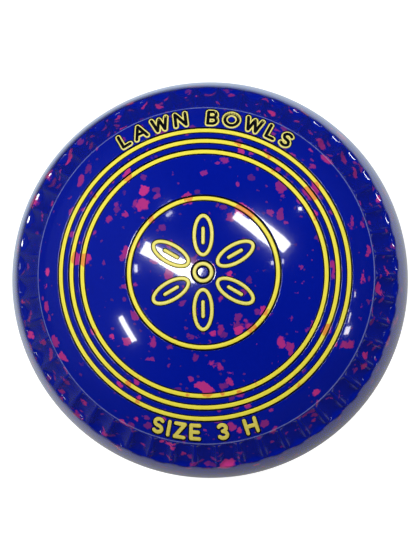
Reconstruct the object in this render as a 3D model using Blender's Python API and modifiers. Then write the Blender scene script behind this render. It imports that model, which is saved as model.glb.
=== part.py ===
"""A size 3 lawn bowl lying on its disc, in metres, +Z up.

The origin is on the surface that the bowl rests on, under its middle. A moulded core sits
between two moulded shell halves. Both faces carry engraved lines that are filled with
enamel: three rings, a ring with a rosette in it, and two arcs of plain lettering. A band of
finger grips is cut round each shoulder. The bowl is one rigid body and nothing on it moves.
"""
import math

import bpy
import bmesh
from mathutils import Matrix, Vector

# Outer shape: every side is three arcs, a crown, a shoulder and the sole that it runs on.
RUNNING_RADIUS = 0.061            # half of the diameter of a size 3 bowl
HALF_WIDTH = 0.055                # from the middle plane to either face
CROWN_RADIUS = 0.074
SHOULDER_RADIUS = 0.030
SOLE_RADIUS = {"upper": 0.0560, "lower": 0.0545}    # the lower side is the bias side
LAND_RADIUS = 0.004               # small flat in the middle of each face
CORE_RADIUS = 0.042
GAP = 0.0003                      # between pieces that touch on the real bowl

# Finger grips, cut by a round tool that is run along the shoulder
GRIP_COUNT = 50
GRIP_TOOL_RADIUS = 0.0052
GRIP_TOOL_FACETS = 12
GRIP_START_RADIUS = 0.0490        # distance of each end from the bowl's axis
GRIP_END_RADIUS = 0.0576
GRIP_START_DEPTH = 0.0013
GRIP_END_DEPTH = 0.0005

# Engraving and the enamel in it
LINE_WIDTH = 0.0011
ENAMEL_DEPTH = 0.00015            # how far the enamel's top lies under the surface
ENAMEL_THICKNESS = 0.0006
POCKET_HEADROOM = 0.0008          # how far a pocket's cutter stands out of the surface
RINGS = {
    "upper": {"ring_outer": 0.0412, "ring_middle": 0.0379, "ring_inner": 0.0346, "emblem_ring": 0.0209},
    "lower": {"ring_outer": 0.0405, "ring_middle": 0.0372, "ring_inner": 0.0300, "emblem_ring": 0.0165},
}
PETAL_COUNT = 6
PETAL_STEPS = 10
PETAL_REACH = {"upper": (0.0050, 0.0158), "lower": (0.0052, 0.0128)}     # inner and outer tip
PETAL_HALF_WIDTH = {"upper": 0.0026, "lower": 0.0019}
PETAL_VEIN = (0.0082, 0.0124)      # ends of the line inside each petal of the upper face
ROSETTE_CENTRE_RADIUS = 0.0024

# Lettering: centre-line height, stroke width and the radius of the letters' middle
WORD = {
    "text": "LAWN BOWLS",
    "height": 0.0039,
    "width": 0.0011,
    "radius": 0.0453,
    "tracking": 0.0022,
    "outward": 1.0,               # read from the middle of the face
}
SIZE_MARK = {
    "text": "SIZE 3 H",
    "height": 0.0034,
    "width": 0.0010,
    "radius": 0.0453,
    "tracking": 0.0020,
    "outward": -1.0,              # the other way up, on the far side of the face
}
LETTERING = {"word": WORD, "size": SIZE_MARK}
SPACE_WIDTH = 0.45                # of the letter height
STROKE_END = 0.4                  # how far a pen stroke runs past its end, of its width
MITRE_LIMIT = 0.62                # keeps the corners of sharp turns short

TURN_STEPS = 40                   # facets round every turned piece
PROFILE_STEPS = 10                # facets from the middle of a face to the sole
CORE_STEPS = 5                    # facets in a quarter of the core
ARC_STEPS = 3                     # facets in a quarter of a letter's curve
ENAMEL_SMOOTH_ANGLE = math.radians(35)
SHELL_SMOOTH_ANGLE = math.radians(25)

COLOURS = {"core": (0.03, 0.03, 0.035), "shell": (0.002, 0.012, 0.33), "enamel": (0.93, 0.76, 0.03)}
ROUGHNESS = {"core": 0.5, "shell": 0.08, "enamel": 0.35}


# ---------------------------------------------------------------- scene and materials

def clear_scene():
    for item in list(bpy.data.objects):
        bpy.data.objects.remove(item, do_unlink=True)


def new_collection(name):
    collection = bpy.data.collections.new(name)
    bpy.context.scene.collection.children.link(collection)
    return collection


def new_material(name, kind):
    colour = (*COLOURS[kind], 1.0)
    material = bpy.data.materials.new(name)
    material.use_nodes = True
    shader = material.node_tree.nodes["Principled BSDF"]
    shader.inputs["Base Color"].default_value = colour
    shader.inputs["Roughness"].default_value = ROUGHNESS[kind]
    shader.inputs["Metallic"].default_value = 0.0
    material.diffuse_color = colour
    return material


def add_object(name, mesh, collection, material=None):
    item = bpy.data.objects.new(name, mesh)
    collection.objects.link(item)
    if material:
        mesh.materials.append(material)
    return item


def hide_cutter(item):
    item.hide_render = True
    item.display_type = "WIRE"


def evaluated_mesh(item):
    """A plain mesh of an object with its modifiers applied."""
    bpy.context.view_layer.update()
    graph = bpy.context.evaluated_depsgraph_get()
    return bpy.data.meshes.new_from_object(item.evaluated_get(graph))


# ---------------------------------------------------------------- the outer shape

def side_arcs(side):
    """The crown, shoulder and sole arcs of a side, as (centre r, centre z, radius, outer end r)."""
    sole = SOLE_RADIUS[side]
    crown_centre = Vector((0.0, HALF_WIDTH - math.sqrt(CROWN_RADIUS ** 2 - LAND_RADIUS ** 2)))
    sole_centre = Vector((RUNNING_RADIUS - sole, 0.0))
    from_crown = CROWN_RADIUS - SHOULDER_RADIUS
    from_sole = sole - SHOULDER_RADIUS
    span = sole_centre - crown_centre
    along = (from_crown ** 2 - from_sole ** 2 + span.length_squared) / (2 * span.length)
    across = math.sqrt(from_crown ** 2 - along ** 2)
    heading = span.normalized()
    shoulder_centre = crown_centre + along * heading + across * Vector((heading.y, -heading.x))
    crown_end = crown_centre + CROWN_RADIUS * (shoulder_centre - crown_centre).normalized()
    sole_start = sole_centre + sole * (shoulder_centre - sole_centre).normalized()
    return [(crown_centre.x, crown_centre.y, CROWN_RADIUS, crown_end.x),
            (shoulder_centre.x, shoulder_centre.y, SHOULDER_RADIUS, sole_start.x),
            (sole_centre.x, sole_centre.y, sole, RUNNING_RADIUS)]


ARCS = {side: side_arcs(side) for side in SOLE_RADIUS}


def surface_point(side, radius, depth=0.0):
    """The point under a face at a distance from the axis, measured square to the surface."""
    if radius <= LAND_RADIUS:
        return Vector((radius, HALF_WIDTH - depth))
    for centre_r, centre_z, arc_radius, end in ARCS[side]:
        if radius <= end:
            break
    across = radius - centre_r
    up = math.sqrt(max(arc_radius ** 2 - across ** 2, 0.0))
    return Vector((centre_r, centre_z)) + Vector((across, up)) * (1.0 - depth / arc_radius)


def side_matrix(side):
    """Moves a side, drawn face up about the middle plane, to its place on the bowl."""
    lift = Matrix.Translation((0.0, 0.0, HALF_WIDTH))
    if side == "upper":
        return lift
    return lift @ Matrix.Rotation(math.pi, 4, "X")


def turned_mesh(name, profile):
    """Turns (radius, height) points, which run down the outer side, about the Z axis."""
    edges = [(i, i + 1) for i in range(len(profile) - 1)]
    mesh = bpy.data.meshes.new(name)
    mesh.from_pydata([(r, 0.0, z) for r, z in profile], edges, [])
    item = bpy.data.objects.new(name, mesh)
    bpy.context.scene.collection.objects.link(item)
    screw = item.modifiers.new("turn", "SCREW")
    screw.steps = screw.render_steps = TURN_STEPS
    screw.use_merge_vertices = True
    screw.merge_threshold = 0.00001
    turned = evaluated_mesh(item)
    bpy.data.objects.remove(item, do_unlink=True)
    bm = bmesh.new()
    bm.from_mesh(turned)
    bmesh.ops.remove_doubles(bm, verts=bm.verts, dist=0.000001)
    bmesh.ops.recalc_face_normals(bm, faces=bm.faces)
    bm.to_mesh(turned)
    bm.free()
    return turned


def grooved_profile(side):
    """The outer profile from the middle of the face to the middle plane, with its ring grooves."""
    half = LINE_WIDTH / 2 + GAP
    floor = ENAMEL_DEPTH + ENAMEL_THICKNESS + GAP
    grooves = list(RINGS[side].values())
    if side == "upper":
        grooves.append(ROSETTE_CENTRE_RADIUS)
    stops = [[(0.0, 0.0)], [(LAND_RADIUS, 0.0)]]
    for radius in grooves:
        inner, outer = radius - half, radius + half
        stops.append([(inner, 0.0), (inner, floor), (outer, floor), (outer, 0.0)])
    for step in range(1, PROFILE_STEPS):
        radius = RUNNING_RADIUS * math.sin(step * math.pi / 2 / PROFILE_STEPS)
        if all(abs(radius - groove) > half + LINE_WIDTH for groove in grooves):
            stops.append([(radius, 0.0)])
    points = []
    for stop in sorted(stops, key=lambda run: run[0][0]):
        points += [surface_point(side, radius, depth) for radius, depth in stop]
    points.append(Vector((RUNNING_RADIUS, GAP / 2)))
    return points


def ball_profile(radius, lowest, highest):
    """Points of a ball's side between two angles above its middle, in the order given."""
    count = round(abs(highest - lowest) / (math.pi / 2) * CORE_STEPS)
    angles = [lowest + (highest - lowest) * i / count for i in range(count + 1)]
    points = [Vector((radius * math.cos(angle), radius * math.sin(angle))) for angle in angles]
    for point, angle in zip(points, angles):
        if abs(angle) == math.pi / 2:
            point.x = 0.0
    return points


def shell_profile(side):
    cavity = CORE_RADIUS + GAP
    return grooved_profile(side) + ball_profile(cavity, math.asin(GAP / 2 / cavity), math.pi / 2)


# ---------------------------------------------------------------- engraved strokes and letters

def quarter_turns(centre, radii, start, end):
    """Points along part of an ellipse. The angles are in quarter turns, anticlockwise from +X."""
    count = max(2, round(abs(end - start) * ARC_STEPS))
    points = []
    for i in range(count + 1):
        angle = math.pi / 2 * (start + (end - start) * i / count)
        x = centre[0] + radii[0] * math.cos(angle)
        y = centre[1] + radii[1] * math.sin(angle)
        points.append((x, y))
    return points


# Each letter is its width and its pen strokes, with the letter's height as 1. A stroke that
# ends where it starts is a closed loop.
GLYPHS = {
    "A": (0.84, [[(0.0, 0.0), (0.42, 1.0), (0.84, 0.0)], [(0.17, 0.34), (0.67, 0.34)]]),
    "B": (0.62, [[(0.0, 0.0), (0.0, 1.0)]
                 + quarter_turns((0.32, 0.76), (0.25, 0.24), 1, -0.35)
                 + quarter_turns((0.34, 0.26), (0.28, 0.26), 0.4, -1)
                 + [(0.0, 0.0)],
                 [(0.0, 0.52), (0.5, 0.52)]]),
    "E": (0.60, [[(0.60, 1.0), (0.0, 1.0), (0.0, 0.0), (0.60, 0.0)], [(0.0, 0.5), (0.52, 0.5)]]),
    "H": (0.74, [[(0.0, 0.0), (0.0, 1.0)], [(0.0, 0.5), (0.74, 0.5)], [(0.74, 0.0), (0.74, 1.0)]]),
    "I": (0.0, [[(0.0, 1.0), (0.0, 0.0)]]),
    "L": (0.56, [[(0.0, 1.0), (0.0, 0.0), (0.56, 0.0)]]),
    "N": (0.76, [[(0.0, 0.0), (0.0, 1.0), (0.76, 0.0), (0.76, 1.0)]]),
    "O": (1.00, [quarter_turns((0.50, 0.50), (0.50, 0.50), 0, 4)]),
    "S": (0.60, [quarter_turns((0.30, 0.75), (0.29, 0.25), 0.4, 3)
                 + quarter_turns((0.30, 0.25), (0.30, 0.25), 1, -1.6)[1:]]),
    "W": (1.12, [[(0.0, 1.0), (0.28, 0.0), (0.56, 0.92), (0.84, 0.0), (1.12, 1.0)]]),
    "Z": (0.66, [[(0.0, 1.0), (0.66, 1.0), (0.0, 0.0), (0.66, 0.0)]]),
    "3": (0.58, [quarter_turns((0.28, 0.765), (0.27, 0.235), 1.7, -1),
                 quarter_turns((0.28, 0.255), (0.30, 0.255), 1, -1.7)]),
}


def beside(path, distance, closed):
    """Points at a distance to the left of a path, mitred where it turns."""
    count = len(path)
    points = []
    for i, here in enumerate(path):
        before = path[i - 1] if closed or i > 0 else None
        after = path[(i + 1) % count] if closed or i < count - 1 else None
        arriving = (here - before).normalized() if before else (after - here).normalized()
        leaving = (after - here).normalized() if after else arriving
        heading = (arriving + leaving).normalized()
        stretch = max(heading.dot(arriving), MITRE_LIMIT)
        points.append(here + Vector((-heading.y, heading.x)) * distance / stretch)
    return points


def stroke_solid(name, path, width, top, thickness, collection):
    """A flat bar along a path in the XY plane, square at its ends."""
    path = [Vector(point) for point in path]
    closed = (path[0] - path[-1]).length < GAP / 10
    if closed:
        path = path[:-1]
    else:
        path[0] = path[0] + (path[0] - path[1]).normalized() * width * STROKE_END
        path[-1] = path[-1] + (path[-1] - path[-2]).normalized() * width * STROKE_END
    bm = bmesh.new()
    left = [bm.verts.new((*point, top)) for point in beside(path, width / 2, closed)]
    right = [bm.verts.new((*point, top)) for point in beside(path, -width / 2, closed)]
    spans = len(path) if closed else len(path) - 1
    for i in range(spans):
        j = (i + 1) % len(path)
        bm.faces.new((right[i], right[j], left[j], left[i]))
    mesh = bpy.data.meshes.new(name)
    bm.to_mesh(mesh)
    bm.free()
    item = add_object(name, mesh, collection)
    thick = item.modifiers.new("thickness", "SOLIDIFY")
    thick.thickness = thickness
    thick.offset = -1.0
    return item


def joined_strokes(name, strokes, width, top, thickness, collection):
    """One flat mesh of pen strokes that cross or touch."""
    items = [stroke_solid(name, path, width, top, thickness, collection) for path in strokes]
    for extra in items[1:]:
        union = items[0].modifiers.new("join", "BOOLEAN")
        union.operation = "UNION"
        union.solver = "MANIFOLD"
        union.object = extra
    mesh = evaluated_mesh(items[0])
    for item in items:
        bpy.data.objects.remove(item, do_unlink=True)
    return mesh


def lay_on_face(mesh, side):
    """Bends a flat mesh, whose z is minus its depth, onto a face of the bowl."""
    for vertex in mesh.vertices:
        radius = math.hypot(vertex.co.x, vertex.co.y)
        place = surface_point(side, radius, -vertex.co.z)
        scale = place.x / radius
        vertex.co = (vertex.co.x * scale, vertex.co.y * scale, place.y)
    bm = bmesh.new()
    bm.from_mesh(mesh)
    bmesh.ops.triangulate(bm, faces=bm.faces)
    bm.to_mesh(mesh)
    bm.free()


def lettering(line):
    """The strokes of every letter of an arc of text, in the plane of a face: (letter, strokes)."""
    height, radius, outward = line["height"], line["radius"], line["outward"]
    glyphs = [GLYPHS.get(letter, (SPACE_WIDTH, [])) for letter in line["text"]]
    total = sum(width for width, strokes in glyphs) * height + (len(glyphs) - 1) * line["tracking"]
    placed = []
    travelled = -total / 2
    for letter, (width, strokes) in zip(line["text"], glyphs):
        angle = (travelled + width * height / 2) / radius
        turn = Matrix.Rotation(-outward * angle, 2)
        bent = []
        for stroke in strokes:
            points = []
            for x, y in stroke:
                flat = Vector(((x - width / 2) * height, (y - 0.5) * height + outward * radius))
                points.append(tuple(turn @ flat))
            bent.append(points)
        if bent:
            placed.append((letter, bent))
        travelled += width * height + line["tracking"]
    return placed


def on_spoke(points, index):
    """Turns points drawn along +X onto a spoke of the rosette, the first of which points to +Y."""
    turn = Matrix.Rotation(math.pi / 2 + index * 2 * math.pi / PETAL_COUNT, 2)
    return [tuple(turn @ Vector(point)) for point in points]


def petal_path(side):
    """A closed oval between the two tips of a petal that lies along +X."""
    inner, outer = PETAL_REACH[side]
    points = []
    for step in range(PETAL_STEPS):
        angle = step * 2 * math.pi / PETAL_STEPS
        along = (inner + outer) / 2 + (outer - inner) / 2 * math.cos(angle)
        points.append((along, PETAL_HALF_WIDTH[side] * math.sin(angle)))
    return points + points[:1]


def engraved_marks(side):
    """Everything engraved by a moving tool: (name, strokes, width)."""
    vein = [(r, 0.0) for r in PETAL_VEIN]
    marks = []
    for i in range(PETAL_COUNT):
        marks.append((f"petal_{i + 1}", [on_spoke(petal_path(side), i)], LINE_WIDTH))
        if side == "upper":
            marks.append((f"petal_vein_{i + 1}", [on_spoke(vein, i)], LINE_WIDTH))
    for label, line in LETTERING.items():
        for number, (letter, strokes) in enumerate(lettering(line), start=1):
            marks.append((f"{label}_{number}_{letter}", strokes, line["width"]))
    return marks


# ---------------------------------------------------------------- pieces

def add_enamel(side, collection, material):
    """The enamel that fills each groove, a separate piece for each line and letter."""
    for name, radius in RINGS[side].items():
        add_ring(f"{side}_{name}", side, radius, collection, material)
    if side == "upper":
        add_ring("upper_rosette_centre", side, ROSETTE_CENTRE_RADIUS, collection, material)
    for name, strokes, width in engraved_marks(side):
        mesh = joined_strokes(name, strokes, width, -ENAMEL_DEPTH, ENAMEL_THICKNESS, collection)
        lay_on_face(mesh, side)
        item = add_object(f"{side}_{name}", mesh, collection, material)
        item.matrix_world = side_matrix(side)


def add_ring(name, side, radius, collection, material):
    top, bottom = ENAMEL_DEPTH, ENAMEL_DEPTH + ENAMEL_THICKNESS
    inner, outer = radius - LINE_WIDTH / 2, radius + LINE_WIDTH / 2
    corners = [(inner, top), (outer, top), (outer, bottom), (inner, bottom), (inner, top)]
    profile = [surface_point(side, r, depth) for r, depth in corners]
    item = add_object(name, turned_mesh(name, profile), collection, material)
    item.data.shade_smooth()
    item.data.set_sharp_from_angle(angle=ENAMEL_SMOOTH_ANGLE)
    item.matrix_world = side_matrix(side)


def pocket_cutter(side, collection):
    """One cutter with the pocket of every engraved mark of a side."""
    height = POCKET_HEADROOM + ENAMEL_DEPTH + ENAMEL_THICKNESS + GAP
    bm = bmesh.new()
    for name, strokes, width in engraved_marks(side):
        mesh = joined_strokes(name, strokes, width + 2 * GAP, POCKET_HEADROOM, height, collection)
        lay_on_face(mesh, side)
        bm.from_mesh(mesh)
        bpy.data.meshes.remove(mesh)
    mesh = bpy.data.meshes.new(f"{side}_pockets")
    bm.to_mesh(mesh)
    bm.free()
    item = add_object(f"{side}_pockets", mesh, collection)
    hide_cutter(item)
    return item


def grip_cutter(side, first, collection):
    """Every second grip's cutter, so that no two in one mesh overlap."""
    start = surface_point(side, GRIP_START_RADIUS, GRIP_START_DEPTH)
    end = surface_point(side, GRIP_END_RADIUS, GRIP_END_DEPTH)
    run = end - start
    square = Vector((-run.y, run.x)).normalized()
    middle = (start + end) / 2 + square * GRIP_TOOL_RADIUS
    lean = math.atan2(run.x, run.y)
    bm = bmesh.new()
    for number in range(first, GRIP_COUNT, 2):
        turn = Matrix.Rotation(number * 2 * math.pi / GRIP_COUNT, 4, "Z")
        place = turn @ Matrix.Translation((middle.x, 0.0, middle.y)) @ Matrix.Rotation(lean, 4, "Y")
        bmesh.ops.create_cone(bm, cap_ends=True, segments=GRIP_TOOL_FACETS, radius1=GRIP_TOOL_RADIUS,
                              radius2=GRIP_TOOL_RADIUS, depth=run.length, matrix=place)
    bmesh.ops.recalc_face_normals(bm, faces=bm.faces)
    mesh = bpy.data.meshes.new(f"{side}_grips_{first}")
    bm.to_mesh(mesh)
    bm.free()
    item = add_object(f"{side}_grips_{first}", mesh, collection)
    hide_cutter(item)
    return item


def add_shell(side, collection, cutters, material):
    name = f"shell_{side}"
    shell = add_object(name, turned_mesh(name, shell_profile(side)), collection, material)
    tools = [grip_cutter(side, 0, cutters), grip_cutter(side, 1, cutters), pocket_cutter(side, cutters)]
    for tool in tools:
        cut = shell.modifiers.new(tool.name, "BOOLEAN")
        cut.operation = "DIFFERENCE"
        cut.solver = "MANIFOLD"
        cut.object = tool
        tool.matrix_world = side_matrix(side)
    shell.data.shade_smooth()
    shell.data.set_sharp_from_angle(angle=SHELL_SMOOTH_ANGLE)
    shell.matrix_world = side_matrix(side)


def add_core(collection, material):
    profile = ball_profile(CORE_RADIUS, math.pi / 2, -math.pi / 2)
    core = add_object("core", turned_mesh("core", profile), collection, material)
    core.data.shade_smooth()
    core.location = (0.0, 0.0, HALF_WIDTH)


def main():
    clear_scene()
    bowl = new_collection("lawn_bowl")
    cutters = new_collection("cutters")
    add_core(bowl, new_material("core_resin", "core"))
    for side in ("upper", "lower"):
        add_shell(side, bowl, cutters, new_material(f"shell_resin_{side}", "shell"))
        add_enamel(side, bowl, new_material(f"enamel_{side}", "enamel"))


main()
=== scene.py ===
"""The looks of the lawn bowl: polished speckled resin, scooped finger grips and enamelled engraving.

The whole outside is one fine mesh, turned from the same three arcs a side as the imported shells.
Rings, letters and the rosette sit in real grooves, each with its own enamel.
"""
import math

import bmesh
import bpy
import numpy as np
from mathutils import Matrix, Vector


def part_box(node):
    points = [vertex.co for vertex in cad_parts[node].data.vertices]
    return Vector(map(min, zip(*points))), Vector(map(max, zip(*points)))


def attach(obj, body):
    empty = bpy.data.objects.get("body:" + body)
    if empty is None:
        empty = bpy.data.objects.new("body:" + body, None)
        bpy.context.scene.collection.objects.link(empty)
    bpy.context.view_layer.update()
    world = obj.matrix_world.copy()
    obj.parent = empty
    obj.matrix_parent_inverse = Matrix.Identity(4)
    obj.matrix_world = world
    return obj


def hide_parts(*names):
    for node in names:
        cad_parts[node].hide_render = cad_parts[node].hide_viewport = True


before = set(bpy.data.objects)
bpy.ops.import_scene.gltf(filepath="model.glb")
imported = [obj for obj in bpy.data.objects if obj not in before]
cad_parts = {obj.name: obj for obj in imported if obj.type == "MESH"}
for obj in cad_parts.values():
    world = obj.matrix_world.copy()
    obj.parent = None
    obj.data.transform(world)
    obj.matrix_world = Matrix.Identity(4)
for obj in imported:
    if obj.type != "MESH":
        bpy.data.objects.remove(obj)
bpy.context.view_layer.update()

MM = 0.001
TINY = 1e-9
SIDES = ("upper", "lower")

# The outer shape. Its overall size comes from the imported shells.
RUNNING_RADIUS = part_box("shell_upper")[1].x
HALF_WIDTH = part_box("shell_upper")[1].z / 2
CROWN_RADIUS = 74 * MM
SHOULDER_RADIUS = 30 * MM
SOLE_RADIUS = {"upper": 56 * MM, "lower": 54.5 * MM}
LAND_RADIUS = 4 * MM
CROWN_EASE = 40 * MM              # the crown flattens very slightly inside this radius
CROWN_EXCESS = CROWN_RADIUS - math.sqrt(CROWN_RADIUS ** 2 - LAND_RADIUS ** 2)

# Rim and finger grips
RIM_RADIUS = 48.7 * MM
RIM_STEP = 0.22 * MM              # the grip band starts this far under the face
STEP_FADE_LENGTH = 6 * MM         # the step dies away over this length,
STEP_FADE_PAST = 0.3 * MM         # and has gone this far past the grips
GRIP_COUNT = 50
GRIP_START = 0.85 * MM            # along the surface, from the rim
GRIP_END_RADIUS = 56.1 * MM
GRIP_DEPTH = 1.2 * MM
GRIP_SIDE_RADIUS = 4.2 * MM       # how round the scoops are across
GRIP_END_ROUND = 1.9 * MM         # and at their ends
GRIP_CORNER = 1.6                 # 1 gives round ends in plan, more gives squarer ones
GRIP_REACH = 0.98                 # the part of those radii in use, so that no wall is upright
LIP_ROUND = 0.05 * MM             # how round the ridges' edges are

# Rows and columns of the shell's mesh
COARSE_COLUMNS = 4 * GRIP_COUNT
CROWN_ROW_STEP = 1.5              # between the crown's plain rows, in millimetres
CROWN_ROW_MARGIN = 0.5            # and how near the rim the last of them may come
GROOVE_ROW_MARGIN = 0.2 * MM      # plain rows stay this far from a groove's lip
# The rim's rounded step, as (distance from the rim, depth) in millimetres
RIM_EDGE = ((-0.25, 0.0), (-0.10, 0.01), (0.04, 0.04), (0.16, 0.10), (0.26, 0.17), (0.38, 0.21),
            (0.52, 0.22))
# the rows over the rim's rounded edge that carry its painted highlight
BRIGHT_EDGE_ROWS = 4
# Rows over a scoop's ends, in millimetres from its lip: the end by the rim, then the far end
END_STOPS = (-0.12, -0.05, 0.0, 0.05, 0.11, 0.18, 0.28, 0.42, 0.60, 0.95, 1.6)
FAR_END_STOPS = (-0.12, 0.0, 0.09, 0.22, 0.45, 0.85, 1.6)
MIDDLE_ROWS = 2
SOLE_BANDS = 12
# Where the fine columns stand between two ridges. Every fifth one meets a coarse column.
GRIP_COLUMNS = (0.0, 0.045, 0.075, 0.11, 0.16, 0.25, 0.30, 0.35, 0.40, 0.45,
                0.5, 0.55, 0.60, 0.65, 0.70, 0.75, 0.84, 0.89, 0.925, 0.955)
CURVE_SAMPLES = 2000              # for measuring along the surface
SHARP_ANGLE = math.radians(50)    # edges that turn more than this are shaded as sharp
RADIUS_DIGITS = 7                 # rows whose radii agree to this many places keep their order

# Places in the shell's list of materials
RESIN = 0
# the second: near-black painted shade inside the grooves and pockets
SHADED_GROOVE = 1
# the third: the rim's rounded edge, paled blue as a painted highlight
RIM_HIGHLIGHT = 2

# Engraving
LINE_WIDTH = 1.1 * MM
GROOVE_CLEARANCE = 0.44 * MM      # gap on both sides of the enamel, dark with painted shade
GROOVE_DEPTH = 0.75 * MM
EDGE_ROUND = 0.06 * MM
# A groove's rounded lip, as (distance outside the wall, depth), with EDGE_ROUND as 1
GROOVE_LIP = ((3.0, 0.0), (1.0, 0.0), (0.3, 0.3), (0.0, 1.0))
CUT_ABOVE = 1.2 * MM              # how far a cutter stands above the face
RING_NAMES = ("ring_outer", "ring_middle", "ring_inner", "emblem_ring")

# Enamel
ENAMEL_TOP = 0.08 * MM            # depths under the face
ENAMEL_BOTTOM = GROOVE_DEPTH - 0.02 * MM
SIDE_SHADE_DEPTH = 0.30 * MM           # painted shade: the enamel's sides are dark below this
RING_ROUNDING = 0.12 * MM         # the top edge of the enamel in the three outer rings
LETTER_ROUNDING = 0.16 * MM
FINE_ROUNDING = 0.24 * MM         # and in the emblem and its ring,
FINE_DOME = 0.04 * MM             # where the middle of a line also stands a little higher
ROUNDING_ANGLES = (0, 30, 60, 90) # the rows over a rounded edge, in degrees
MITRE_LIMIT = 0.5                 # a sharp turn widens a line to no more than twice its width
CLOSING_GAP = 1e-7                # a closed path may end this near its start, in metres
CAP_STEPS = 6                     # round the end of a stroke
QUARTER_STEPS = 5                 # in a quarter turn of a letter's curve
EMBLEM_HALF = 0.5 * MM            # half the width of the rosette's lines
EMBLEM_CLEARANCE = 0.22 * MM
CENTRE_POINTS = 60
PETAL_POINTS = 40
PETAL_COUNT = 6

# Lettering. "half" is half the width of a stroke, and "channel" half that of the line inside it.
# "outward" is 1 where the letters' tops point away from the middle, and -1 where their feet do.
WORD = {
    "label": "word",
    "text": "LAWN BOWLS",
    "height": 3.9 * MM,
    "radius": 45.25 * MM,
    "tracking": 2.4 * MM,
    "outward": 1.0,
    "half": 0.88 * MM,
    "channel": 0.46 * MM,
    "clearance": 0.20 * MM,
}
SIZE_MARK = {
    "label": "size",
    "text": "SIZE 3 H",
    "height": 4.0 * MM,
    "radius": 45.2 * MM,
    "tracking": 1.9 * MM,
    "outward": -1.0,
    "half": 0.54 * MM,
    "channel": None,
    "clearance": 0.32 * MM,
}
SPACE_WIDTH = 0.45                # of the letter height
CHANNEL_OVERRUN = 1 * MM          # a channel's cutter stands this far out above and below
CUTTER_ROUNDING = 0.05 * MM


# ------------------------------ the outer shape

def side_arcs(side):
    """The crown, shoulder and sole arcs of a side, as (centre r, centre z, radius, outer end r)."""
    sole = SOLE_RADIUS[side]
    crown_centre = Vector((0.0, HALF_WIDTH - math.sqrt(CROWN_RADIUS ** 2 - LAND_RADIUS ** 2)))
    sole_centre = Vector((RUNNING_RADIUS - sole, 0.0))
    from_crown = CROWN_RADIUS - SHOULDER_RADIUS
    from_sole = sole - SHOULDER_RADIUS
    span = sole_centre - crown_centre
    along = (from_crown ** 2 - from_sole ** 2 + span.length_squared) / (2 * span.length)
    across = math.sqrt(from_crown ** 2 - along ** 2)
    heading = span.normalized()
    shoulder_centre = crown_centre + along * heading + across * Vector((heading.y, -heading.x))
    crown_end = crown_centre + CROWN_RADIUS * (shoulder_centre - crown_centre).normalized()
    sole_start = sole_centre + sole * (shoulder_centre - sole_centre).normalized()
    return [(crown_centre.x, crown_centre.y, CROWN_RADIUS, crown_end.x),
            (shoulder_centre.x, shoulder_centre.y, SHOULDER_RADIUS, sole_start.x),
            (sole_centre.x, sole_centre.y, sole, RUNNING_RADIUS)]


ARCS = {side: side_arcs(side) for side in SIDES}


def tilt_at(side, radius):
    """The surface normal's angle from the axis at distances from the axis."""
    radius = np.asarray(radius, float)
    tilt = np.full(radius.shape, math.pi / 2)
    for centre_r, _, arc_radius, end in reversed(ARCS[side]):
        inside = radius <= end
        tilt[inside] = np.arcsin(np.clip((radius[inside] - centre_r) / arc_radius, -1.0, 1.0))
    return tilt


def face_points(side, tilt, depth):
    """(r, z) at normal angles and depths under the surface, with z from the middle plane."""
    tilt, depth = np.broadcast_arrays(np.asarray(tilt, float), np.asarray(depth, float))
    r = np.zeros(tilt.shape)
    z = np.zeros(tilt.shape)
    done = np.zeros(tilt.shape, bool)
    for centre_r, centre_z, arc_radius, end in ARCS[side]:
        last = math.pi / 2 if end >= RUNNING_RADIUS else math.asin((end - centre_r) / arc_radius)
        here = (tilt <= last + TINY) & ~done
        reach = arc_radius - depth[here]
        r[here] = centre_r + reach * np.sin(tilt[here])
        z[here] = centre_z + reach * np.cos(tilt[here])
        done |= here
    ease = np.clip(1.0 - (r / CROWN_EASE) ** 2, 0.0, 1.0) ** 2
    return r, z - CROWN_EXCESS * ease


def lay_on_face(points, side):
    """Bends points drawn flat, with z as minus their depth, onto a side of the bowl."""
    radius = np.hypot(points[:, 0], points[:, 1])
    r, z = face_points(side, tilt_at(side, radius), -points[:, 2])
    scale = np.where(radius > TINY, r / np.maximum(radius, TINY), 0.0)
    return np.column_stack((points[:, 0] * scale, points[:, 1] * scale, z))


def to_bowl(points, side):
    """Moves points from a side's own frame, face up about the middle plane, to the bowl's."""
    turn = np.array((1.0, 1.0, 1.0)) if side == "upper" else np.array((1.0, -1.0, -1.0))
    return points * turn + np.array((0.0, 0.0, HALF_WIDTH))


def ring_radius(side, name):
    """The middle of a ring's line, from its CAD node."""
    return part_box(f"{side}_{name}")[1].x - LINE_WIDTH / 2


def circle(radius, count=COARSE_COLUMNS):
    return [(radius * math.cos(2 * math.pi * i / count), radius * math.sin(2 * math.pi * i / count))
            for i in range(count)]


# ------------------------------ the shell

def softly_above_zero(value):
    """A value, or nothing where it is negative, with the corner between the two rounded."""
    return 0.5 * (value + np.sqrt(value ** 2 + LIP_ROUND ** 2)) - 0.5 * LIP_ROUND


def scoop_depth(along, length, across):
    """How deep the grips are at a distance from the rim and at distances from a grip's middle."""
    reach = np.minimum(np.abs(across), GRIP_REACH * GRIP_SIDE_RADIUS)
    side_sag = GRIP_SIDE_RADIUS - np.sqrt(GRIP_SIDE_RADIUS ** 2 - reach ** 2)
    end_length = math.sqrt(GRIP_END_ROUND ** 2 - (GRIP_END_ROUND - GRIP_DEPTH) ** 2)
    into_end = end_length - min(along - GRIP_START, length - along)
    into_end = min(max(into_end, 0.0), GRIP_REACH * GRIP_END_ROUND)
    end_sag = GRIP_END_ROUND - math.sqrt(GRIP_END_ROUND ** 2 - into_end ** 2)
    sag = (side_sag ** GRIP_CORNER + end_sag ** GRIP_CORNER) ** (1 / GRIP_CORNER)
    return softly_above_zero(GRIP_DEPTH - sag)


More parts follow.
